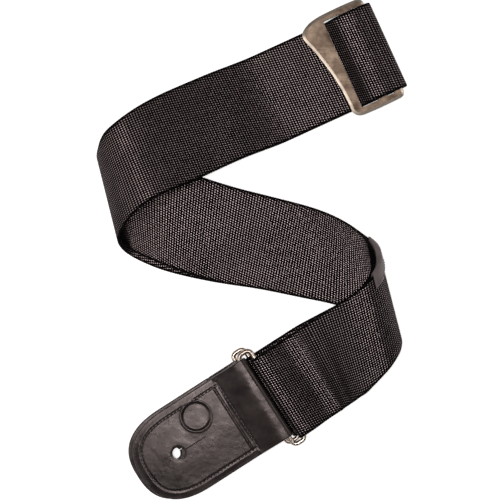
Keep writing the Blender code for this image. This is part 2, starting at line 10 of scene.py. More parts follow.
import bmesh
import bpy
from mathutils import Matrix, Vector


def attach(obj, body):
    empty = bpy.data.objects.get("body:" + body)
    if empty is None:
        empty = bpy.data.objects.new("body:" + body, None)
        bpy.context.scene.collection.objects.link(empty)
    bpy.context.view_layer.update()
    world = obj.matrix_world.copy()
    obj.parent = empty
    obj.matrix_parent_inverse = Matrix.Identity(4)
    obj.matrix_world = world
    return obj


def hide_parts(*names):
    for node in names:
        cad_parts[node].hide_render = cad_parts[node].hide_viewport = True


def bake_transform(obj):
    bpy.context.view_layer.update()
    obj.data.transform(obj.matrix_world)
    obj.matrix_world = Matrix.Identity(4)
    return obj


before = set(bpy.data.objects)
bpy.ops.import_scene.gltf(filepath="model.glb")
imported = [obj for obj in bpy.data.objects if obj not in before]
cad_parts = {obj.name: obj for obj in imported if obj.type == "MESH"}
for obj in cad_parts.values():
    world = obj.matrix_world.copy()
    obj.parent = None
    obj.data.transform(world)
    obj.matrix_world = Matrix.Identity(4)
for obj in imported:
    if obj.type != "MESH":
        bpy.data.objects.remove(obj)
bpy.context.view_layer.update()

MM = 0.001

# Sizes and places of the CAD model
STRAP_WIDTH = 0.050
WEBBING_THICKNESS = 0.0013
GAP = 0.0003
LAYER_PITCH = WEBBING_THICKNESS + GAP
STACK_MIDDLE = 1.5 * WEBBING_THICKNESS + GAP
BEND_SLACK = 0.0004
LEATHER_THICKNESS = 0.0015
LEATHER_WIDTH = 0.0495
CORE_THICKNESS = 0.0008
WIRE_RADIUS = 0.0013
RING_LENGTH = 0.060
RING_BAR_SPACING = 0.0074
CENTRE_SHIFT = Vector((-0.00043, -0.00031, 0.00005))
FOLD_PLACE = Vector((0.0745, 0.1125, STACK_MIDDLE))
FOLD_ANGLE = math.radians(204.6)
SLIDER_STRAIGHT = 0.070
RING_PLACE = Vector((0.0363, -0.0659, STACK_MIDDLE))
RING_ANGLE = math.radians(212.7)
RING_STRAIGHT = 0.0253

# Upper and lower edge of the middle strand between its straight stretches, in mm
UPPER_EDGE = (
    (-25.7, 95.0, 9.5), (-49.4, 83.8, 18.5), (-63.8, 75.2, 24.0), (-73.4, 67.3, 25.5),
    (-79.4, 60.3, 21.5), (-82.0, 51.5, 13.5), (-78.0, 46.0, 5.5), (-65.0, 44.8, 2.9),
    (-42.0, 41.8, 2.25), (-15.0, 35.7, 2.25), (12.5, 29.0, 2.25), (34.0, 23.2, 2.25),
    (48.5, 17.2, 2.6), (58.5, 10.5, 4.8), (64.2, 4.0, 8.0), (66.2, -4.5, 12.5),
    (64.8, -12.0, 17.5), (58.8, -19.5, 20.5), (50.0, -26.5, 19.0), (41.0, -32.5, 13.5),
    (31.5, -39.0, 7.5),
)
LOWER_EDGE = (
    (-4.5, 50.1, 9.5), (-30.4, 37.8, 18.0), (-45.6, 31.2, 23.0), (-56.0, 25.6, 24.5),
    (-65.0, 17.0, 20.5), (-70.6, 6.5, 12.5), (-67.0, -1.5, 5.0), (-59.5, -6.5, 2.9),
    (-45.0, -12.0, 2.25), (-22.0, -17.2, 2.25), (3.0, -21.0, 2.25), (26.0, -25.6, 2.25),
    (46.5, -30.0, 2.6), (63.5, -36.0, 4.8), (74.5, -42.5, 8.0), (78.2, -50.5, 13.0),
    (76.0, -58.5, 18.0), (70.5, -67.0, 20.0), (63.0, -75.5, 18.5), (57.5, -80.5, 13.5),
    (54.0, -83.5, 8.0),
)
SPLINE_STEPS = 10

SLIDER_FLOOR = 0.0065
SLIDER_THICKNESS = 0.0022
SLOT_HALF_WIDTH = 0.0256
FIRST_SLOT = (0.0175, 0.0275)
SECOND_SLOT = (0.0080, 0.0125)
MIDDLE_BAR = (0.0125, 0.0175)
SLIDER_OUTLINE = (
    (0.0032, -0.0263), (0.0042, -0.0287), (0.0064, -0.0295), (0.0274, -0.0296),
    (0.0310, -0.0286), (0.0332, -0.0258), (0.0333, -0.0215), (0.0338, -0.0120),
    (0.0350, -0.0030), (0.0368, 0.0055), (0.0390, 0.0140), (0.0411, 0.0205),
    (0.0410, 0.0236), (0.0385, 0.0262), (0.0340, 0.0283), (0.0258, 0.0294),
    (0.0068, 0.0294), (0.0042, 0.0284), (0.0032, 0.0260),
)

TAIL_Z = STACK_MIDDLE + LAYER_PITCH
LONG_RUN_Z = STACK_MIDDLE + 2 * LAYER_PITCH
BRIDGE_Z = 0.01125
LOOP_TOP_Z = SLIDER_FLOOR + SLIDER_THICKNESS + GAP + WEBBING_THICKNESS / 2
SEWN_TAIL_END = 0.0460
SEWN_STRAND_END = 0.0500
RETURN_FIXED_END = 0.0723

FRONT_RING_Z = 0.00935
REAR_RING_Z = 0.00305
REAR_SHIFT = 0.0025
WEBBING_LOOP_RADIUS = WIRE_RADIUS + 0.00035 + WEBBING_THICKNESS / 2
TACK_LENGTH = 0.025
RING_OFFSET = {"front": 0.002, "rear": 0.004}
LEATHER_OFFSET = {"front": 0.0036, "rear": 0.0046}
LEATHER_FLOOR = {"front": 0.0049, "rear": 0.0}
LEATHER_LENGTH = 0.0791
TIP_LENGTH = 0.0306
TIP_POWER = 2.6
RETURN_LEAF = 0.017
BACKING_START = 0.0185
CORE_START = 0.020
STITCH_INSET = 0.0046
CORE_INSET = 0.0062
HOLE_FROM_TIP = 0.0237
HOLE_RADIUS = 0.0034
SLIT_LENGTH = 0.0176
SLIT_WIDTH = 0.0006
LABEL_THICKNESS = 0.0007
LABEL_DEPTH = 0.0075
LABEL_STATIONS = (13.7, 16.3)

# Fine detail that only the visual model has
WEAVE_PITCH_ALONG = 0.00145
WEAVE_PITCH_ACROSS = 0.001265
WEAVE_STEP = 0.25
SELVEDGE_SCALLOP = 0.00007
BRIDGE_SPLIT = 0.0195
BRIDGE_CROWN = 0.0007

# Lengths s near the slider, at which points on the strap's middle are taken
UPPER_FIXED_FROM = 0.047
UPPER_CARRIED_TO = 0.0295
SEWN_FIXED_FROM = 0.0715

# Seams, marks, edges and camera
STITCH_PITCH = 0.00225
TACK_PITCH = 0.0025
LABEL_STITCH_PITCH = 0.0016
DEBOSS_FROM_HOLE = 0.019
DEBOSS_ACROSS = 0.0120
DEBOSS_RADIUS = 0.0080
DEBOSS_DEPTH = 0.0005
FACE_CROWN = 0.00035
EDGE_ROUND = 0.0006
SLIDER_CORNER_STEPS = 12
FOLD_STEPS = 22
CAMERA_PLACE = (-0.0014, -0.0001, 0.9)
CAMERA_LENS = 118.0


def heading(angle):
    return Vector((math.cos(angle), math.sin(angle), 0.0))


def across(angle):
    return Vector((math.sin(angle), -math.cos(angle), 0.0))


def smooth(x, start, end):
    """0 before start, 1 after end, with an easy change between them."""
    t = min(1.0, max(0.0, (x - start) / (end - start)))
    return t * t * (3.0 - 2.0 * t)


def hump(x, middle, half_width):
    """1 at the middle, falling smoothly to 0 at half_width away."""
    t = min(1.0, abs(x - middle) / half_width)
    return (1 - t * t) ** 2


# ---------------------------------------------------------------- the strap's own frame

def curve_point(start, leaving, end, arriving, t):
    """A point part t along the curve between two points with the given tangents."""
    a = 2 * t ** 3 - 3 * t ** 2 + 1
    b = t ** 3 - 2 * t ** 2 + t
    c = -2 * t ** 3 + 3 * t ** 2
    d = t ** 3 - t ** 2
    return start * a + leaving * b + end * c + arriving * d


def spline(points, first_tangent, last_tangent):
    tangents = [first_tangent * (points[1] - points[0]).length]
    for before, after in zip(points, points[2:]):
        tangents.append((after - before) * 0.5)
    tangents.append(last_tangent * (points[-1] - points[-2]).length)
    curve = []
    for i in range(len(points) - 1):
        for step in range(SPLINE_STEPS):
            t = step / SPLINE_STEPS
            curve.append(curve_point(points[i], tangents[i], points[i + 1], tangents[i + 1], t))
    curve.append(points[-1])
    return curve


def edge_curve(stations, side):
    start_way = heading(FOLD_ANGLE)
    end_way = heading(RING_ANGLE)
    half = side * STRAP_WIDTH / 2
    first = FOLD_PLACE + start_way * SLIDER_STRAIGHT + across(FOLD_ANGLE) * half
    last = RING_PLACE + across(RING_ANGLE) * half
    points = [first] + [Vector(p) * MM for p in stations] + [last]
    return spline(points, start_way, end_way)


UPPER_CURVE = edge_curve(UPPER_EDGE, 1)
LOWER_CURVE = edge_curve(LOWER_EDGE, -1)
MIDDLE_CURVE = [(a + b) * 0.5 for a, b in zip(UPPER_CURVE, LOWER_CURVE)]
MIDDLE_LENGTHS = [SLIDER_STRAIGHT]
for here, following in zip(MIDDLE_CURVE, MIDDLE_CURVE[1:]):
    MIDDLE_LENGTHS.append(MIDDLE_LENGTHS[-1] + (following - here).length)
CURVE_NORMALS = []
for number, (upper, lower) in enumerate(zip(UPPER_CURVE, LOWER_CURVE)):
    before = MIDDLE_CURVE[max(0, number - 1)]
    after = MIDDLE_CURVE[min(len(MIDDLE_CURVE) - 1, number + 1)]
    CURVE_NORMALS.append((upper - lower).cross(after - before).normalized())
BEND_END = MIDDLE_LENGTHS[-1]
FRONT_BAR = BEND_END + RING_STRAIGHT
REAR_BAR = FRONT_BAR + REAR_SHIFT
BAR = {"front": FRONT_BAR, "rear": REAR_BAR}
RING_Z = {"front": FRONT_RING_Z, "rear": REAR_RING_Z}


def station_length(number):
    position = (number + 1) * SPLINE_STEPS
    low = int(position)
    part = position - low
    return MIDDLE_LENGTHS[low] * (1 - part) + MIDDLE_LENGTHS[low + 1] * part


def strap_frame(s):
    """Middle, half width vector and upward normal of the middle strand at length s."""
    if s <= SLIDER_STRAIGHT:
        middle = FOLD_PLACE + heading(FOLD_ANGLE) * s
        return middle, across(FOLD_ANGLE) * (STRAP_WIDTH / 2), Vector((0, 0, 1))
    if s >= BEND_END:
        middle = RING_PLACE + heading(RING_ANGLE) * (s - BEND_END)
        return middle, across(RING_ANGLE) * (STRAP_WIDTH / 2), Vector((0, 0, 1))
    low = bisect.bisect_left(MIDDLE_LENGTHS, s) - 1
    part = (s - MIDDLE_LENGTHS[low]) / (MIDDLE_LENGTHS[low + 1] - MIDDLE_LENGTHS[low])
    upper = UPPER_CURVE[low].lerp(UPPER_CURVE[low + 1], part)
    lower = LOWER_CURVE[low].lerp(LOWER_CURVE[low + 1], part)
    normal = CURVE_NORMALS[low].lerp(CURVE_NORMALS[low + 1], part).normalized()
    return (upper + lower) * 0.5, (upper - lower) * 0.5, normal


def strap_point(s, w, z):
    middle, half_width, normal = strap_frame(s)
    place = middle + half_width * (w / (STRAP_WIDTH / 2)) + normal * (z - STACK_MIDDLE)
    return place + CENTRE_SHIFT


# ---------------------------------------------------------------- heights of the strands

def layer_two_height(s):
    rise = REAR_RING_Z + WEBBING_LOOP_RADIUS - STACK_MIDDLE
    return STACK_MIDDLE + rise * smooth(s, REAR_BAR - 0.022, REAR_BAR - 0.003)


def tail_height(s):
    top = FRONT_RING_Z - WEBBING_LOOP_RADIUS
    resting = layer_two_height(s) + LAYER_PITCH
    rise = top - layer_two_height(REAR_BAR) - LAYER_PITCH
    return resting + rise * smooth(s, FRONT_BAR - 0.02, FRONT_BAR)


def long_run_height(s):
    slider_part = LAYER_PITCH * (1 - smooth(s, 0.075, 0.110))
    label_start = station_length(LABEL_STATIONS[0])
    label_end = station_length(LABEL_STATIONS[1])
    label_in = smooth(s, label_start - 0.010, label_start - 0.002)
    label_out = smooth(s, label_end + 0.002, label_end + 0.012)
    label_part = (LABEL_THICKNESS + 2 * GAP) * (label_in - label_out)
    tail_part = LAYER_PITCH * smooth(s, FRONT_BAR - 0.040, FRONT_BAR - TACK_LENGTH - 0.002)
    apart_in = smooth(s, station_length(15), station_length(17))
    apart_out = smooth(s, station_length(19), station_length(20))
    bend_part = BEND_SLACK * (apart_in - apart_out)
    below = layer_two_height(s) + LAYER_PITCH + slider_part + label_part + tail_part + bend_part
    top = FRONT_RING_Z + WEBBING_LOOP_RADIUS
    climb = smooth(s, FRONT_BAR - 0.018, FRONT_BAR - 0.002)
    return below + (top - below) * climb


def layer_three_height(s):
    lift = REAR_RING_Z - WEBBING_LOOP_RADIUS - (STACK_MIDDLE - LAYER_PITCH)
    return STACK_MIDDLE - LAYER_PITCH + lift * smooth(s, REAR_BAR - 0.010, REAR_BAR)


def adjuster_shift(s):
    bend = station_length(6)
    inward = 0.0035 * smooth(s, bend - 0.05, bend) * (1 - smooth(s, bend + 0.01, bend + 0.07))
    return inward + 0.002 * smooth(s, BEND_END - 0.03, BEND_END)


def bridge_height(s):
    """The top strand over the slider: up through the first slot, then level to the fold."""
    ramp_low = FIRST_SLOT[1] - 0.0007
    ramp_high = FIRST_SLOT[0] + 0.0022
    crown = BRIDGE_CROWN * hump(s, 0.0130, 0.0068)
    return BRIDGE_Z + crown + (LONG_RUN_Z - BRIDGE_Z) * smooth(s, ramp_high, ramp_low)


def upper_height(s):
    return bridge_height(s) if s < 0.048 else long_run_height(s)


# ---------------------------------------------------------------- paths

RIB_STEP = WEAVE_PITCH_ALONG / 2


def stretch(start, end, height):
    """Points (s, z) at every weft rib from start to end."""
    count = max(1, round(abs(end - start) / RIB_STEP))
    lengths = [start + (end - start) * i / count for i in range(count + 1)]
    return [(s, height(s)) for s in lengths]


def half_turn(s, z, radius, towards, rising, steps=14):
    points = []
    for i in range(steps + 1):
        angle = math.pi * i / steps - math.pi / 2
        if not rising:
            angle = -angle
        points.append((s + towards * radius * math.cos(angle), z + radius * math.sin(angle)))
    return points


def join_paths(*paths, spacing=0.0001):
    """One path from several, without the points that lie closer together than the spacing."""
    points = []
    for path in paths:
        for point in path:
            if not points or math.dist(point, points[-1]) > spacing:
                points.append(point)
    return points


def path_lengths(path):
    lengths = [0.0]
    for a, b in zip(path, path[1:]):
        lengths.append(lengths[-1] + math.dist(a, b))
    return lengths


def path_normals(path):
    normals = []
    for i in range(len(path)):
        before = path[max(0, i - 1)]
        after = path[min(len(path) - 1, i + 1)]
        ds = after[0] - before[0]
        dz = after[1] - before[1]
        size = math.hypot(ds, dz)
        normals.append((-dz / size, ds / size))
    return normals


# ---------------------------------------------------------------- materials

def new_material(name):
    made = bpy.data.materials.new(name)
    made.use_nodes = True
    tree = made.node_tree
    return made, tree, tree.nodes["Principled BSDF"]


def add_node(tree, kind, **settings):
    node = tree.nodes.new(kind)
    for key, value in settings.items():
        setattr(node, key, value)
    return node


def math_node(tree, operation, first, second=0.0):
    """A Math node whose inputs are numbers or other nodes' outputs."""
    node = add_node(tree, "ShaderNodeMath", operation=operation)
    for socket, value in zip(node.inputs, (first, second)):
        if isinstance(value, bpy.types.NodeSocket):
            tree.links.new(value, socket)
        else:
            socket.default_value = value
    return node.outputs[0]


def ramp(tree, value, stops):
    node = add_node(tree, "ShaderNodeValToRGB")
    elements = node.color_ramp.elements
    while len(elements) < len(stops):
        elements.new(0.5)
    for element, (position, colour) in zip(elements, stops):
        element.position = position
        element.color = (*colour, 1.0) if hasattr(colour, "__len__") else (colour,) * 3 + (1.0,)
    tree.links.new(value, node.inputs[0])
    return node.outputs[0]


def noise(tree, coordinate, scale, detail=4.0, roughness=0.55):
    node = add_node(tree, "ShaderNodeTexNoise")
    node.inputs["Scale"].default_value = scale
    node.inputs["Detail"].default_value = detail
    node.inputs["Roughness"].default_value = roughness
    tree.links.new(coordinate, node.inputs["Vector"])
    return node.outputs["Fac"]


def bump(tree, shader, height, strength, distance, below=None):
    node = add_node(tree, "ShaderNodeBump")
    node.inputs["Strength"].default_value = strength
    node.inputs["Distance"].default_value = distance
    tree.links.new(height, node.inputs["Height"])
    if below is not None:
        tree.links.new(below, node.inputs["Normal"])
    tree.links.new(node.outputs[0], shader.inputs["Normal"])
    return node.outputs[0]


def object_coordinates(tree):
    return add_node(tree, "ShaderNodeTexCoord").outputs["Object"]


def webbing_material():
    """Black polyester twill: a lattice of small yarn crests, each row a quarter step on."""
    made, tree, shader = new_material("woven_webbing")
    uv = add_node(tree, "ShaderNodeUVMap", uv_map="weave")
    split = add_node(tree, "ShaderNodeSeparateXYZ")
    tree.links.new(uv.outputs[0], split.inputs[0])
    along, over = split.outputs[0], split.outputs[1]

    coordinate = object_coordinates(tree)
    wander = math_node(tree, "MULTIPLY", noise(tree, coordinate, 260.0, 2.0), 0.9)
    turns = 2 * math.pi
    column = math_node(tree, "ADD", math_node(tree, "MULTIPLY", along, turns), wander)
    drift = math_node(tree, "MULTIPLY", along, -WEAVE_STEP)
    row = math_node(tree, "MULTIPLY", math_node(tree, "ADD", over, drift), turns)
    column_wave = math_node(tree, "MULTIPLY_ADD", math_node(tree, "COSINE", column), 0.5)
    column_wave.node.inputs[2].default_value = 0.5
    row_wave = math_node(tree, "MULTIPLY_ADD", math_node(tree, "COSINE", row), 0.5)
    row_wave.node.inputs[2].default_value = 0.5
    woven = math_node(tree, "MULTIPLY", column_wave, row_wave)
    edge_start = (STRAP_WIDTH / 2 - 0.0016) / WEAVE_PITCH_ACROSS
    edge_end = (STRAP_WIDTH / 2 - 0.0006) / WEAVE_PITCH_ACROSS
    inside = add_node(tree, "ShaderNodeMapRange")
    inside.inputs["From Min"].default_value = edge_start
    inside.inputs["From Max"].default_value = edge_end
    inside.inputs["To Min"].default_value = 1.0
    inside.inputs["To Max"].default_value = 0.35
    tree.links.new(math_node(tree, "ABSOLUTE", over), inside.inputs["Value"])
    crest = math_node(tree, "MULTIPLY", woven, inside.outputs[0])

    patches = ramp(tree, noise(tree, coordinate, 45.0, 3.0), ((0.3, 0.8), (0.7, 1.15)))
    grain = ramp(tree, noise(tree, coordinate, 1500.0, 1.0), ((0.3, 0.75), (0.7, 1.15)))
    shade = math_node(tree, "MULTIPLY", patches, grain)
    bright = math_node(tree, "MULTIPLY", ramp(tree, crest, ((0.34, 0.0), (0.90, 1.0))), shade)
    mix = add_node(tree, "ShaderNodeMix", data_type="RGBA")
    mix.inputs["A"].default_value = (0.0022, 0.0017, 0.0018, 1.0)
    mix.inputs["B"].default_value = (0.435, 0.362, 0.368, 1.0)
    tree.links.new(bright, mix.inputs["Factor"])
    tree.links.new(mix.outputs["Result"], shader.inputs["Base Color"])

    rough = ramp(tree, crest, ((0.15, 0.9), (0.7, 0.42)))
    tree.links.new(rough, shader.inputs["Roughness"])
    tree.links.new(ramp(tree, crest, ((0.2, 0.0), (0.55, 1.0))), shader.inputs["Metallic"])
    shader.inputs["Specular IOR Level"].default_value = 0.15
    shader.inputs["Specular Tint"].default_value = (0.25, 0.22, 0.22, 1.0)
    bump(tree, shader, crest, 0.5, 0.00016)
    return made


def leather_material(name, base, light, roughness, grain_strength):
    """Smooth black leather with soft grey clouding, fine grain and a satin finish."""
    made, tree, shader = new_material(name)
    coordinate = object_coordinates(tree)
    clouds = noise(tree, coordinate, 38.0, 5.0, 0.6)
    colour = ramp(tree, clouds, ((0.35, base), (0.72, light)))
    tree.links.new(colour, shader.inputs["Base Color"])
    wear_and_sheen = noise(tree, coordinate, 120.0, 4.0)
    low, high = roughness
    rough = ramp(tree, wear_and_sheen, ((0.3, low), (0.7, high)))
    tree.links.new(rough, shader.inputs["Roughness"])
    shader.inputs["Specular IOR Level"].default_value = 0.44
    shader.inputs["Specular Tint"].default_value = (1.0, 0.87, 0.85, 1.0)
    cells = add_node(tree, "ShaderNodeTexVoronoi", feature="DISTANCE_TO_EDGE")
    cells.inputs["Scale"].default_value = 1400.0
    tree.links.new(coordinate, cells.inputs["Vector"])
    pores = bump(tree, shader, cells.outputs["Distance"], grain_strength, 0.00006)
    creases = bump(tree, shader, noise(tree, coordinate, 420.0, 3.0), grain_strength, 0.00005, pores)
    bump(tree, shader, noise(tree, coordinate, 75.0, 3.0), 1.0, 0.00035, creases)
    return made


def thread_material(name, dark, light):
    made, tree, shader = new_material(name)
    coordinate = object_coordinates(tree)
    colour = ramp(tree, noise(tree, coordinate, 2500.0, 2.0), ((0.3, dark), (0.7, light)))
    tree.links.new(colour, shader.inputs["Base Color"])
    shader.inputs["Roughness"].default_value = 0.32
    bump(tree, shader, noise(tree, coordinate, 3200.0, 1.0), 0.3, 0.00008)
    return made


def metal_material(name, dark, light, wear_and_sheen, roughness, brush_angle):
    """Antique nickel: brushed along one way, with darker patina, and a bright colour on faces tilted upwards
    (the chamfer, the wire's upper flanks) that is partly rubbed wear and partly painted highlight.
    """
    made, tree, shader = new_material(name)
    coordinate = object_coordinates(tree)
    mapping = add_node(tree, "ShaderNodeMapping")
    mapping.inputs["Rotation"].default_value = (0, 0, brush_angle)
    mapping.inputs["Scale"].default_value = (1.0, 14.0, 1.0)
    tree.links.new(coordinate, mapping.inputs["Vector"])
    brushed = noise(tree, mapping.outputs[0], 160.0, 4.0, 0.6)
    patina = noise(tree, coordinate, 110.0, 4.0)
    mixed = math_node(tree, "MULTIPLY_ADD", brushed, 0.2)
    tree.links.new(math_node(tree, "MULTIPLY", patina, 0.8), mixed.node.inputs[2])
    colour = ramp(tree, mixed, ((0.36, dark), (0.62, light)))

    # Painted highlight with rubbed wear: faces tilted about 10 to 60 degrees from level take the bright
    # colour passed in, in patches set by the patina noise.
    geometry = add_node(tree, "ShaderNodeNewGeometry")
    split = add_node(tree, "ShaderNodeSeparateXYZ")
    tree.links.new(geometry.outputs["Normal"], split.inputs[0])
    painted_highlight_slopes = ramp(tree, split.outputs[2], ((0.45, 0.0), (0.80, 1.0), (0.93, 1.0), (0.985, 0.0)))
    rubbed_and_highlight = math_node(tree, "MULTIPLY", painted_highlight_slopes, ramp(tree, patina, ((0.30, 0.55), (0.50, 1.0))))
    mix = add_node(tree, "ShaderNodeMix", data_type="RGBA")
    mix.inputs["B"].default_value = (*wear_and_sheen, 1.0)
    tree.links.new(rubbed_and_highlight, mix.inputs["Factor"])
    tree.links.new(colour, mix.inputs["A"])
    tree.links.new(mix.outputs["Result"], shader.inputs["Base Color"])
    low, high = roughness
    tree.links.new(ramp(tree, mixed, ((0.35, high), (0.65, low))), shader.inputs["Roughness"])
    shader.inputs["Metallic"].default_value = 1.0
    bump(tree, shader, brushed, 0.12, 0.00005)
    return made


def core_material():
    made, tree, shader = new_material("stiffener_board")
    coordinate = object_coordinates(tree)
    fibres = noise(tree, coordinate, 900.0)
    colour = ramp(tree, fibres, ((0.3, (0.035, 0.028, 0.024)), (0.7, (0.075, 0.062, 0.054))))
    tree.links.new(colour, shader.inputs["Base Color"])
    shader.inputs["Roughness"].default_value = 0.9
    return made


WEBBING = webbing_material()
LEATHER = leather_material(
    "smooth_leather", (0.0042, 0.0030, 0.0030), (0.026, 0.020, 0.0195), (0.22, 0.38), 0.35
)
EDGE_LEATHER = leather_material(
    "label_leather", (0.085, 0.070, 0.070), (0.210, 0.180, 0.180), (0.40, 0.6), 0.5
)
BACKING = leather_material("split_leather", (0.016, 0.014, 0.014), (0.036, 0.032, 0.031), (0.70, 0.9), 0.8)
THREAD = thread_material("waxed_thread", (0.006, 0.005, 0.005), (0.040, 0.034, 0.034))
TACK_THREAD = thread_material("tack_thread", (0.030, 0.026, 0.026), (0.130, 0.110, 0.110))
# The third colour of each metal is its rubbed wear and painted highlight on the faces tilted upwards.
SLIDER_METAL = metal_material(
    "antique_nickel", (0.060, 0.041, 0.029), (0.165, 0.125, 0.094), (0.80, 0.70, 0.58),
    (0.34, 0.48), -FOLD_ANGLE
)
RING_METAL = metal_material(
    "nickel_wire", (0.20, 0.165, 0.135), (0.48, 0.42, 0.36), (0.60, 0.53, 0.46), (0.18, 0.32), -RING_ANGLE
)
CORE = core_material()


# ---------------------------------------------------------------- mesh helpers

def make_object(name, bm, material, auto_smooth=50):
    bmesh.ops.recalc_face_normals(bm, faces=bm.faces)
    mesh = bpy.data.meshes.new(name)
    bm.to_mesh(mesh)
    bm.free()
    mesh.materials.append(material)
    mesh.shade_smooth()
    mesh.set_sharp_from_angle(angle=math.radians(auto_smooth))
    obj = bpy.data.objects.new(name, mesh)
    bpy.context.scene.collection.objects.link(obj)
    return obj


def bridge_rows(bm, rows, closed=False):
    """Faces between rows of equal length, each a loop, with caps on open ends."""
    pairs = list(zip(rows, rows[1:]))
    if closed:
        pairs.append((rows[-1], rows[0]))
    for row, following in pairs:
        for i in range(len(row)):
            j = (i + 1) % len(row)
            bm.faces.new((row[i], row[j], following[j], following[i]))
    if not closed:
        bm.faces.new(rows[0])
        bm.faces.new(list(reversed(rows[-1])))


def ribbon_section(half_width, thickness, columns=24, round_steps=4):
    """Outline (w, h) of a flat strip with rounded edges, from the top's left round to it."""
    radius = thickness / 2
    inner = half_width - radius
    top = [(-inner + 2 * inner * i / columns, radius) for i in range(columns + 1)]
    right = []
    for i in range(1, round_steps):
        angle = math.pi / 2 - math.pi * i / round_steps
        right.append((inner + radius * math.cos(angle), radius * math.sin(angle)))
    bottom = [(-w, -h) for w, h in top]
    left = [(-w, -h) for w, h in right]
    return top + right + bottom + left


def ribbon(name, path, shift=lambda s: 0.0, start_length=0.0, direction=1):
    """A webbing strip along path (s, z), with its selvedges scalloped at each weft rib.

    The weave's coordinate starts at start_length and runs up or down along the path, so
    that the weave carries on from one piece of the strap to the next.
    """
    half_width = STRAP_WIDTH / 2
    bm = bmesh.new()
    uv_layer = bm.loops.layers.uv.new("weave")
    section = ribbon_section(half_width, WEBBING_THICKNESS)
    lengths = path_lengths(path)
    rows = []
    place = {}
    for i, ((s, z), (ns, nz)) in enumerate(zip(path, path_normals(path))):
        scallop = SELVEDGE_SCALLOP if i % 2 else -SELVEDGE_SCALLOP
        along = start_length + direction * lengths[i]
        row = []
        for w, h in section:
            edge = scallop * smooth(abs(w), half_width - 0.0012, half_width)
            moved = w + math.copysign(1.0, w) * edge + shift(s)
            vert = bm.verts.new(strap_point(s + ns * h, moved, z + nz * h))
            place[vert] = (along / WEAVE_PITCH_ALONG, w / WEAVE_PITCH_ACROSS)
            row.append(vert)
        rows.append(row)
    bridge_rows(bm, rows)
    for face in bm.faces:
        for loop in face.loops:
            loop[uv_layer].uv = place[loop.vert]
    obj = make_object(name, bm, WEBBING, 60)
    return obj, lengths[-1]


# ---------------------------------------------------------------- webbing

def slide_point(s):
    return strap_point(s, 0.0, STACK_MIDDLE)


def make_webbing():
    tack_start = FRONT_BAR - TACK_LENGTH
    upper = join_paths(
        stretch(BRIDGE_SPLIT, FRONT_BAR, upper_height),
        half_turn(FRONT_BAR, FRONT_RING_Z, WEBBING_LOOP_RADIUS, 1, False),
        stretch(FRONT_BAR, tack_start, tail_height),
    )
    piece, length = ribbon("upper_webbing", upper)
    fixed = tuple(slide_point(UPPER_FIXED_FROM))
    tuple(slide_point(UPPER_CARRIED_TO))
    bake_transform(piece)
    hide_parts("webbing_long_run", "webbing_bridge")

    fold_radius = (BRIDGE_Z - (STACK_MIDDLE - LAYER_PITCH)) / 2
    fold_centre = STACK_MIDDLE - LAYER_PITCH + fold_radius
    fold_s = fold_radius + WEBBING_THICKNESS / 2
    fold = half_turn(fold_s, fold_centre, fold_radius, -1, False, FOLD_STEPS)
    apex = len(fold) // 2
    crossing = join_paths(stretch(BRIDGE_SPLIT, fold_s, bridge_height), fold[:apex + 1])
    piece, crossing_length = ribbon("crossing_webbing", crossing, direction=-1)
    tuple(slide_point(BRIDGE_SPLIT))
    tuple(slide_point(fold[apex][0]))
    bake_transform(piece)
    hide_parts("webbing_bridge")

    adjuster = join_paths(
        fold[apex:],
        stretch(fold_s, REAR_BAR, layer_three_height),
        half_turn(REAR_BAR, REAR_RING_Z, WEBBING_LOOP_RADIUS, 1, True),
        stretch(REAR_BAR, RETURN_FIXED_END, layer_two_height),
    )
    piece, length = ribbon("adjuster_webbing", adjuster, adjuster_shift, -crossing_length, -1)
    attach(piece, "strap")
    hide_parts("webbing_adjuster_run")

    clearance = GAP + WEBBING_THICKNESS / 2
    right_leg = MIDDLE_BAR[0] - clearance
    left_leg = MIDDLE_BAR[1] + clearance
    bend = 0.0012
    loop = stretch(RETURN_FIXED_END - GAP, SEWN_STRAND_END, layer_two_height)
    loop += stretch(SEWN_STRAND_END, right_leg + bend, lambda s: STACK_MIDDLE)[1:]
    corners = (
        (right_leg + bend, STACK_MIDDLE + bend, -90, -180),
        (right_leg + bend, LOOP_TOP_Z - bend, 180, 90),
        (left_leg - bend, LOOP_TOP_Z - bend, 90, 0),
        (left_leg + bend, TAIL_Z + bend, 180, 270),
    )
    for s, z, first, last in corners:
        for i in range(7):
            angle = math.radians(first + (last - first) * i / 6)
            loop.append((s + bend * math.cos(angle), z + bend * math.sin(angle)))
    loop += stretch(left_leg + bend, SEWN_TAIL_END, lambda s: TAIL_Z)[1:]
    piece, length = ribbon("sewn_webbing", join_paths(loop))
    fixed = tuple(slide_point(SEWN_FIXED_FROM))
    tuple(slide_point(SEWN_STRAND_END))
    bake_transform(piece)
    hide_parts("webbing_sewn_end", "webbing_return_strand")


# ---------------------------------------------------------------- slider and rings

def rounded_outline(corners, steps):
    """A smooth closed outline through the corners."""
    points = []
    count = len(corners)
    for i in range(count):
        p0, p1, p2, p3 = (Vector(corners[(i + k - 1) % count]) for k in range(4))
        gap = (p2 - p1).length
        first = (p2 - p0).normalized() * gap
        last = (p3 - p1).normalized() * gap
        for step in range(steps):
            points.append(curve_point(p1, first, p2, last, step / steps))
    return points


def prism(outline, low, high):
    bm = bmesh.new()
    bottom = [bm.verts.new(strap_point(s, w, low)) for s, w in outline]
    top = [bm.verts.new(strap_point(s, w, high)) for s, w in outline]
    bm.faces.new(bottom)
    bm.faces.new(top)
    for i in range(len(outline)):
        j = (i + 1) % len(outline)
        bm.faces.new((bottom[i], bottom[j], top[j], top[i]))
    return bm


def slot_outline(first_s, last_s, half_width, radius=0.0007, steps=4):
    corners = (
        (last_s - radius, half_width - radius, 0), (first_s + radius, half_width - radius, 90),
        (first_s + radius, radius - half_width, 180), (last_s - radius, radius - half_width, 270),
    )
    points = []
    for s, w, first in corners:
        for i in range(steps + 1):
            angle = math.radians(first + 90 * i / steps)
            points.append((s + radius * math.cos(angle), w + radius * math.sin(angle)))
    return points


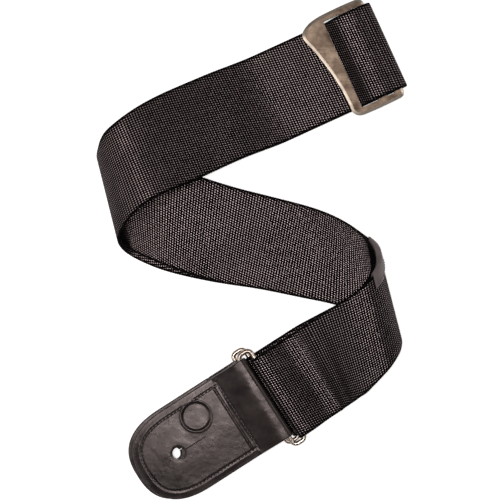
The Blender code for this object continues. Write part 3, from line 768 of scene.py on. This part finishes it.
def subtract(obj, cutters):
    """Cut the cutters out of the object, apply it all and remove the cutters."""
    for cutter in cutters:
        modifier = obj.modifiers.new("cut", "BOOLEAN")
        modifier.operation = "DIFFERENCE"
        modifier.solver = "EXACT"
        modifier.object = cutter
    apply_modifiers(obj)
    for cutter in cutters:
        bpy.data.objects.remove(cutter, do_unlink=True)


def apply_modifiers(obj):
    bpy.context.view_layer.update()
    graph = bpy.context.evaluated_depsgraph_get()
    made = bpy.data.meshes.new_from_object(obj.evaluated_get(graph))
    old = obj.data
    obj.modifiers.clear()
    obj.data = made
    bpy.data.meshes.remove(old)


def inset_outline(outline, distance):
    """The outline moved inwards by the distance; it runs counter-clockwise in (s, w)."""
    moved = []
    for i, point in enumerate(outline):
        way = (outline[(i + 1) % len(outline)] - outline[i - 1]).normalized()
        moved.append(point + Vector((-way.y, way.x)) * distance)
    return moved


def make_slider():
    """The slider's frame: a broad chamfer round its top, rounded below, with two slots."""
    outline = rounded_outline(SLIDER_OUTLINE, SLIDER_CORNER_STEPS)
    top = SLIDER_FLOOR + SLIDER_THICKNESS
    profile = (
        (0.0005, SLIDER_FLOOR), (0.00015, SLIDER_FLOOR + 0.00012), (0.0, SLIDER_FLOOR + 0.0004),
        (0.0, top - 0.00085), (0.0001, top - 0.00066), (0.0013, top - 0.00008), (0.0016, top),
    )
    bm = bmesh.new()
    rows = []
    for inset, height in profile:
        rows.append([bm.verts.new(strap_point(s, w, height)) for s, w in inset_outline(outline, inset)])
    bridge_rows(bm, rows)
    slider = make_object("slider_body", bm, SLIDER_METAL)
    cutters = []
    for slot in (FIRST_SLOT, SECOND_SLOT):
        corners = slot_outline(slot[0], slot[1], SLOT_HALF_WIDTH)
        cutters.append(make_object("slot_cutter", prism(corners, 0.0, 0.02), SLIDER_METAL))
    subtract(slider, cutters)
    bevel = slider.modifiers.new("rounded", "BEVEL")
    bevel.width = 0.0003
    bevel.segments = 3
    bevel.limit_method = "ANGLE"
    bevel.angle_limit = math.radians(50)
    apply_modifiers(slider)
    slider.data.shade_smooth()
    slider.data.set_sharp_from_angle(angle=math.radians(12))
    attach(slider, "slider")
    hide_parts("slider_frame")


def make_ring(side):
    """A rectangular loop of round wire, with the butt joint hidden inside the webbing."""
    corner = 0.0026
    half_length = RING_LENGTH / 2 - WIRE_RADIUS
    near = BAR[side]
    far = near + RING_BAR_SPACING
    centres = (
        (far - corner, half_length - corner, 0), (near + corner, half_length - corner, 90),
        (near + corner, corner - half_length, 180), (far - corner, corner - half_length, 270),
    )
    path = []
    for s, w, first in centres:
        for i in range(13):
            angle = math.radians(first + 90 * i / 12)
            path.append((s + corner * math.cos(angle), w + corner * math.sin(angle)))
    bm = bmesh.new()
    sides = 24
    rows = []
    for i, (s, w) in enumerate(path):
        before = path[i - 1]
        after = path[(i + 1) % len(path)]
        ds = after[0] - before[0]
        dw = after[1] - before[1]
        size = math.hypot(ds, dw)
        row = []
        for k in range(sides):
            angle = 2 * math.pi * k / sides
            out = WIRE_RADIUS * math.cos(angle)
            up = WIRE_RADIUS * math.sin(angle)
            along = s + dw / size * out
            over = w - ds / size * out + RING_OFFSET[side]
            row.append(bm.verts.new(strap_point(along, over, RING_Z[side] + up)))
        rows.append(row)
    bridge_rows(bm, rows, closed=True)
    ring = make_object(side + "_wire_ring", bm, RING_METAL)
    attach(ring, side + "_ring")
    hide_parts(side + "_ring")


# ---------------------------------------------------------------- leather ends

def leather_half_width(d, inset=0.0):
    half = LEATHER_WIDTH / 2 - inset
    tip_start = LEATHER_LENGTH - TIP_LENGTH
    if d <= tip_start:
        return half
    reach = min(1.0, (d - tip_start) / (TIP_LENGTH - inset))
    return half * (1 - reach ** TIP_POWER) ** (1 / TIP_POWER)


def tip_distances(start, inset=0.0, count=40):
    tip_start = LEATHER_LENGTH - TIP_LENGTH
    distances = []
    for i in range(count + 1):
        angle = math.pi / 2 * i / count
        reach = min(0.9995, math.sin(angle) ** (2 / TIP_POWER))
        distance = tip_start + (TIP_LENGTH - inset) * reach
        if distance > start:
            distances.append(distance)
    return distances


def edge_distance(d, w):
    """Distance from (d, w) to the leather's outline, sides and round tip."""
    half = LEATHER_WIDTH / 2
    tip_start = LEATHER_LENGTH - TIP_LENGTH
    if d <= tip_start:
        return half - abs(w)
    x = (d - tip_start) / TIP_LENGTH
    y = abs(w) / half
    inside = x ** TIP_POWER + y ** TIP_POWER
    slope = math.hypot(x ** (TIP_POWER - 1) / TIP_LENGTH, y ** (TIP_POWER - 1) / half)
    if slope < 1e-6:
        return half
    level = max(inside, 1e-9) ** (1 / TIP_POWER)
    slope *= level ** (1 - TIP_POWER)
    return max(0.0, (1 - level) / slope)


def round_edge(distance, radius=EDGE_ROUND):
    """How far a rounded edge lies below the flat top at this distance from the outline."""
    if distance >= radius:
        return 0.0
    reach = radius - distance
    return radius - math.sqrt(max(0.0, radius * radius - reach * reach))


def face_relief(d, w):
    """Height of the face leather's top over its plain level: seams, ridge, deboss, crown."""
    distance = edge_distance(d, w)
    relief = -round_edge(distance)
    seam_here = smooth(d, 0.0170, 0.0190)
    relief -= 0.00022 * hump(distance, STITCH_INSET, 0.0011) * seam_here
    relief -= 0.00035 * smooth(distance, STITCH_INSET, 0.0004) * seam_here
    relief -= 0.00022 * hump(d, RETURN_LEAF, 0.0011) * smooth(distance, 0.0020, 0.0030)
    relief += 0.00030 * hump(d, RETURN_LEAF + 0.0030, 0.0009) * smooth(distance, 0.0035, 0.0055)
    hole_d = LEATHER_LENGTH - HOLE_FROM_TIP
    from_hole = math.hypot(d - hole_d, w)
    relief -= 0.00025 * smooth(from_hole, HOLE_RADIUS + 0.0012, HOLE_RADIUS)
    from_mark = math.hypot(d - (hole_d - DEBOSS_FROM_HOLE), w - DEBOSS_ACROSS)
    relief -= DEBOSS_DEPTH * smooth(from_mark, DEBOSS_RADIUS, DEBOSS_RADIUS - 0.0011)
    relief += 0.00020 * hump(from_mark, DEBOSS_RADIUS + 0.0004, 0.0009)
    relief += FACE_CROWN * smooth(distance, STITCH_INSET, 0.022) * seam_here
    return relief


def plain_relief(w):
    """The return leaf, which only has rounded edges."""
    return -round_edge(LEATHER_WIDTH / 2 - abs(w))


def leather_rows(side):
    """Path (d, z) of the face leather's middle, from the return leaf's end."""
    floor = LEATHER_FLOOR[side]
    ring_z = RING_Z[side]
    radius = WIRE_RADIUS + 0.0002 + LEATHER_THICKNESS / 2
    low_flat = floor + 0.0008
    high_flat = floor + 2 * LEATHER_THICKNESS + CORE_THICKNESS + 2 * GAP - LEATHER_THICKNESS / 2

    def low(d):
        return ring_z - radius + (low_flat - ring_z + radius) * smooth(d, 0.005, RETURN_LEAF)

    def high(d):
        return ring_z + radius + (high_flat - ring_z - radius) * smooth(d, 0.0015, 0.0185)

    fine = 0.00035
    count = round(RETURN_LEAF / 0.0008)
    path = [(RETURN_LEAF * i / count, low(RETURN_LEAF * i / count)) for i in range(count, 0, -1)]
    path += half_turn(0.0, ring_z, radius, -1, True, 20)
    tip_start = LEATHER_LENGTH - TIP_LENGTH
    count = round(tip_start / fine)
    path += [(tip_start * i / count, high(tip_start * i / count)) for i in range(1, count + 1)]
    distances = []
    for i in range(1, 111):
        angle = math.pi / 2 * i / 110
        distances.append(tip_start + TIP_LENGTH * min(0.9996, math.sin(angle)))
    path += [(d, high(d)) for d in distances]
    return join_paths(path, spacing=0.00002)


def width_fractions(count=118):
    """Fractions across the leather from -1 to 1, closer together towards both edges."""
    values = []
    for i in range(count + 1):
        t = -1 + 2 * i / count
        values.append(math.copysign(1 - (1 - abs(t)) ** 1.22, t))
    return values


def leather_face(side):
    bar_s = BAR[side] + RING_BAR_SPACING
    offset = LEATHER_OFFSET[side]
    path = leather_rows(side)
    normals = path_normals(path)
    fractions = width_fractions()
    bm = bmesh.new()
    rows = []
    half_thick = LEATHER_THICKNESS / 2
    turned = False
    for (d, z), (nd, nz) in zip(path, normals):
        if d < 0:
            turned = True
        half = max(0.0004, leather_half_width(max(0.0, d)))
        outer = []
        inner = []
        for fraction in fractions:
            w = half * fraction
            if turned:
                relief = face_relief(d, w) if d > 0 else plain_relief(w)
                under = -round_edge(edge_distance(max(d, 0.0), w), 0.0003)
            else:
                relief = plain_relief(w)
                under = relief
            high = half_thick + relief
            outer.append(bm.verts.new(strap_point(bar_s + d + nd * high, offset + w, z + nz * high)))
            low = -half_thick - under
            inner.append(bm.verts.new(strap_point(bar_s + d + nd * low, offset + w, z + nz * low)))
        rows.append(outer + inner[::-1])
    bridge_rows(bm, rows)
    return make_object(side + "_leather_face", bm, LEATHER, 60)


def hole_outline(side):
    centre = BAR[side] + RING_BAR_SPACING + LEATHER_LENGTH - HOLE_FROM_TIP
    offset = LEATHER_OFFSET[side]
    radius = HOLE_RADIUS
    opening = math.asin(SLIT_WIDTH / 2 / radius)
    points = [(centre - SLIT_LENGTH, offset - SLIT_WIDTH / 2)]
    count = 48
    for i in range(count + 1):
        angle = math.pi + opening + (2 * math.pi - 2 * opening) * i / count
        points.append((centre + radius * math.cos(angle), offset + radius * math.sin(angle)))
    points.append((centre - SLIT_LENGTH, offset + SLIT_WIDTH / 2))
    return points


def hole_cutter(side, material):
    """A prism of the button hole and its slit, through all the layers of the end."""
    floor = LEATHER_FLOOR[side]
    return make_object("hole_cutter", prism(hole_outline(side), floor - 0.002, floor + 0.012), material)


def outline_points(side, start, inset):
    """The outline (s, w) of a flat layer of a leather end, set in from its edge."""
    bar_s = BAR[side] + RING_BAR_SPACING
    offset = LEATHER_OFFSET[side]
    distances = [start] + tip_distances(start, inset)
    one = [(bar_s + d, offset + leather_half_width(d, inset)) for d in distances]
    other = [(s, 2 * offset - w) for s, w in reversed(one)]
    return one + other


def flat_layer(side, name, start, inset, low, thickness, material, edge):
    """A backing or stiffener: a flat layer with the button hole cut through, its edges softened when an edge
    size is given.
    """
    layer = make_object(name, prism(outline_points(side, start, inset), low, low + thickness), material)
    subtract(layer, [hole_cutter(side, material)])
    if edge:
        bevel = layer.modifiers.new("softened", "BEVEL")
        bevel.width = edge
        bevel.segments = 3
        bevel.limit_method = "ANGLE"
        bevel.angle_limit = math.radians(60)
        apply_modifiers(layer)
    layer.data.shade_smooth()
    layer.data.set_sharp_from_angle(angle=math.radians(40))
    return layer


def even_points(points, pitch):
    """Places and directions at even steps along a broken line of points."""
    lengths = path_lengths(points)
    count = round(lengths[-1] / pitch)
    found = []
    for k in range(count):
        target = lengths[-1] * (k + 0.5) / count
        i = min(len(points) - 2, bisect.bisect_right(lengths, target) - 1)
        part = (target - lengths[i]) / (lengths[i + 1] - lengths[i])
        a = points[i]
        b = points[i + 1]
        size = math.dist(a, b)
        found.append((
            (a[0] + (b[0] - a[0]) * part, a[1] + (b[1] - a[1]) * part),
            ((b[0] - a[0]) / size, (b[1] - a[1]) / size),
        ))
    return found


def add_stitch(bm, s, w, way, height, length, width, thickness, slant=0.0):
    """One stitch: a plump bead of thread that dips into the material at both ends."""
    turned = (
        way[0] * math.cos(slant) - way[1] * math.sin(slant),
        way[0] * math.sin(slant) + way[1] * math.cos(slant),
    )
    rows = []
    steps = 8
    sides = 8
    for i in range(1, steps):
        t = -1 + 2 * i / steps
        girth = math.sqrt(1 - t ** 4)
        row = []
        for k in range(sides):
            angle = 2 * math.pi * k / sides
            side = width / 2 * girth * math.cos(angle)
            up = thickness / 2 * girth * math.sin(angle) - thickness * 0.5 * t * t
            along = t * length / 2
            row.append(bm.verts.new(strap_point(
                s + turned[0] * along - turned[1] * side,
                w + turned[1] * along + turned[0] * side,
                height(s) + up,
            )))
        rows.append(row)
    bridge_rows(bm, rows)


def stitched_line(
    name, points, pitch, height, slant=0.0, length=0.66, width=0.0011, thickness=0.0008, thread=THREAD
):
    bm = bmesh.new()
    for (s, w), way in even_points(points, pitch):
        add_stitch(bm, s, w, way, height, pitch * length, width, thickness, slant)
    obj = make_object(name, bm, thread, 80)
    return obj


def make_leather_end(side):
    floor = LEATHER_FLOOR[side]
    bar_s = BAR[side] + RING_BAR_SPACING
    offset = LEATHER_OFFSET[side]
    body = side + "_end"

    face = leather_face(side)
    subtract(face, [hole_cutter(side, LEATHER)])
    face.data.shade_smooth()
    face.data.set_sharp_from_angle(angle=math.radians(50))
    backing = flat_layer(
        side, side + "_leather_backing", BACKING_START, 0.0, floor, LEATHER_THICKNESS, BACKING, 0.0004
    )
    core_low = floor + LEATHER_THICKNESS + GAP
    core = flat_layer(side, side + "_stiffener", CORE_START, CORE_INSET, core_low, CORE_THICKNESS, CORE, 0.0)
    face_top = core_low + CORE_THICKNESS + GAP + LEATHER_THICKNESS

    def thread_level(s):
        return face_top - 0.00004

    inset_points = outline_points(side, 0.0215, STITCH_INSET)
    edge_thread = stitched_line(side + "_edge_stitches", inset_points, STITCH_PITCH, thread_level)
    reach = LEATHER_WIDTH / 2 - STITCH_INSET + 0.001
    cross = [(bar_s + RETURN_LEAF, offset - reach), (bar_s + RETURN_LEAF, offset + reach)]
    cross_thread = stitched_line(side + "_cross_stitches", cross, STITCH_PITCH, thread_level)

    for piece, node, slot in (
        (face, "_end_face", "leather"), (backing, "_end_backing", "backing"), (core, "_end_core", "core"),
        (edge_thread, "_end_edge_thread", "thread"), (cross_thread, "_end_cross_thread", "thread"),
    ):
        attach(piece, body)
        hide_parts(side + node)


# ---------------------------------------------------------------- tack seam and label

def make_tack():
    """The seam across the long run where its end is sewn down behind the front ring."""
    line_s = FRONT_BAR - TACK_LENGTH + 0.002
    half = STRAP_WIDTH / 2 - 0.003

    def height(s):
        return long_run_height(s) + WEBBING_THICKNESS / 2 + 0.00012

    line = [(line_s, -half), (line_s, half)]
    tack = stitched_line(
        "tack_stitches", line, TACK_PITCH, height,
        slant=0.4, width=0.0013, thickness=0.0010, thread=TACK_THREAD,
    )
    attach(tack, "strap")
    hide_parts("long_run_tack_thread")


def make_label():
    first = station_length(LABEL_STATIONS[0])
    last = station_length(LABEL_STATIONS[1])
    middle = GAP + LABEL_THICKNESS / 2
    away = WEBBING_THICKNESS / 2 + middle
    edge = STRAP_WIDTH / 2
    centre_line = [(edge - LABEL_DEPTH * (1 - i / 8), away) for i in range(9)]
    for i in range(1, 12):
        angle = math.radians(90 - 15 * i)
        centre_line.append((edge + away * math.cos(angle), away * math.sin(angle)))
    centre_line += [(edge - LABEL_DEPTH * i / 8, -away) for i in range(9)]
    normals = path_normals(centre_line)
    bm = bmesh.new()
    rows = []
    count = 44
    for i in range(count + 1):
        s = first + (last - first) * i / count
        height = long_run_height(s)
        from_end = min(s - first, last - s)
        outer = []
        inner = []
        for k, ((w, h), (nw, nh)) in enumerate(zip(centre_line, normals)):
            from_side = min(k, len(centre_line) - 1 - k) * LABEL_DEPTH / 8
            drop = round_edge(min(from_end, from_side), 0.0003)
            panel = 0.00018 * hump(from_end, 0.0016, 0.0006) if h > 0 else 0.0
            out = LABEL_THICKNESS / 2 - drop - panel
            outer.append(bm.verts.new(strap_point(s, w + nw * out, height + h + nh * out)))
            back = -LABEL_THICKNESS / 2
            inner.append(bm.verts.new(strap_point(s, w + nw * back, height + h + nh * back)))
        rows.append(outer + inner[::-1])
    bridge_rows(bm, rows)
    label = make_object("leather_label", bm, EDGE_LEATHER, 50)
    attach(label, "strap")
    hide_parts("edge_label")

    def thread_height(s):
        return long_run_height(s) + WEBBING_THICKNESS / 2 + GAP + LABEL_THICKNESS + 0.0001

    inset = 0.0015
    line = [(first + inset, edge - LABEL_DEPTH + inset), (last - inset, edge - LABEL_DEPTH + inset)]
    stitches = stitched_line(
        "label_stitches", line, LABEL_STITCH_PITCH, thread_height,
        width=0.0006, thickness=0.0004, thread=TACK_THREAD,
    )
    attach(stitches, "strap")
    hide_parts("label_thread")


# ---------------------------------------------------------------- floor, lights, camera

def make_floor():
    bm = bmesh.new()
    bmesh.ops.create_grid(bm, x_segments=1, y_segments=1, size=40.0)
    made, tree, shader = new_material("white_table")
    coordinate = object_coordinates(tree)
    mottle = noise(tree, coordinate, 8.0, 2.0)
    colour = ramp(tree, mottle, ((0.3, (0.93, 0.93, 0.93)), (0.7, (0.96, 0.96, 0.96))))
    tree.links.new(colour, shader.inputs["Base Color"])
    shader.inputs["Roughness"].default_value = 0.8
    shader.inputs["Emission Color"].default_value = (1.0, 0.995, 0.995, 1.0)
    shader.inputs["Emission Strength"].default_value = 0.66
    floor = make_object("table_top", bm, made)
    floor.location.z = -0.0002


def area_light(name, place, target, size, power):
    light = bpy.data.lights.new(name, "AREA")
    light.color = (1.0, 0.94, 0.925)
    light.shape = "RECTANGLE"
    light.size, light.size_y = size
    light.energy = power
    obj = bpy.data.objects.new(name, light)
    obj.location = place
    direction = Vector(target) - Vector(place)
    obj.rotation_euler = direction.to_track_quat("-Z", "Y").to_euler()
    bpy.context.scene.collection.objects.link(obj)


def make_lights():
    area_light("top_light", (-0.06, 0.02, 1.30), (0, 0, 0), (0.42, 0.42), 7.6)
    area_light("key_light", (-0.72, -0.24, 0.66), (0, 0, 0), (0.24, 0.34), 1.8)
    area_light("right_light", (0.80, 0.35, 0.55), (0, 0, 0), (0.3, 0.6), 1.2)
    world = bpy.data.worlds.new("studio")
    world.use_nodes = True
    tree = world.node_tree
    background = tree.nodes["Background"]
    background.inputs[0].default_value = (1.0, 0.985, 0.98, 1.0)
    rays = add_node(tree, "ShaderNodeLightPath")
    strength = math_node(tree, "MULTIPLY_ADD", rays.outputs["Is Camera Ray"], 0.66)
    strength.node.inputs[2].default_value = 0.09
    tree.links.new(strength, background.inputs[1])
    bpy.context.scene.world = world
    bpy.context.scene.view_settings.view_transform = "Standard"


def make_camera():
    camera = bpy.data.cameras.new("camera")
    camera.lens = CAMERA_LENS
    camera.sensor_width = 36.0
    camera.clip_start = 0.01
    obj = bpy.data.objects.new("camera", camera)
    obj.location = CAMERA_PLACE
    bpy.context.scene.collection.objects.link(obj)
    bpy.context.scene.camera = obj


def main():
    make_camera()
    make_webbing()
    make_slider()
    make_ring("front")
    make_ring("rear")
    make_leather_end("front")
    make_leather_end("rear")
    make_tack()
    make_label()
    make_floor()
    make_lights()


main()
